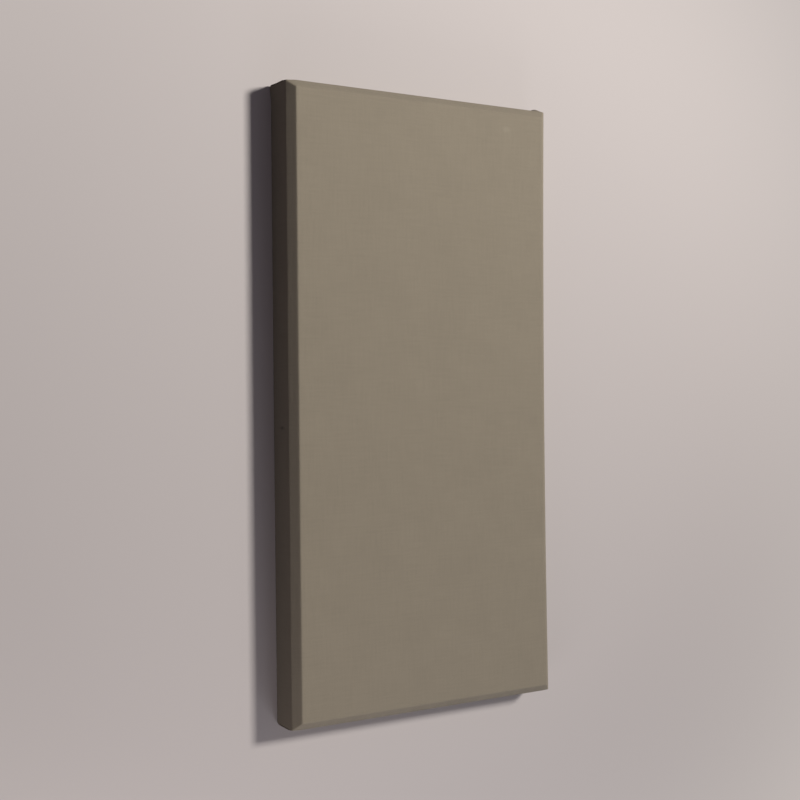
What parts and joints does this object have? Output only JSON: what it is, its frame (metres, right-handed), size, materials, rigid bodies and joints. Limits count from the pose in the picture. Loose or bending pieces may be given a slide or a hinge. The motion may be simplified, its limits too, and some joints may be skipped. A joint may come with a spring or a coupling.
{
  "type": "fabric acoustic wall panel",
  "caption": "Thick rectangular wall panel of rigid glass wool with bevelled front edges, wrapped in plain taupe fabric that is folded at the corners and hemmed on the back.",
  "frame": {"origin": "centre of the back, which the panel lies on, on the plane of the fabric hem", "axes": "+X across the width, towards the picture's right; +Y along the length, towards the end that is up in the picture; +Z out of the face"},
  "size_m": [0.6096, 1.2224, 0.0762],
  "materials": {
    "glass_wool": "rigid resin-bonded glass wool, bare, muted yellow",
    "cover_fabric": "fine plain woven polyester panel fabric, taupe, matt"
  },
  "bodies": {
    "root": {"glass_wool_core": "glass_wool", "fabric_cover": "cover_fabric"}
  },
  "joints": []
}
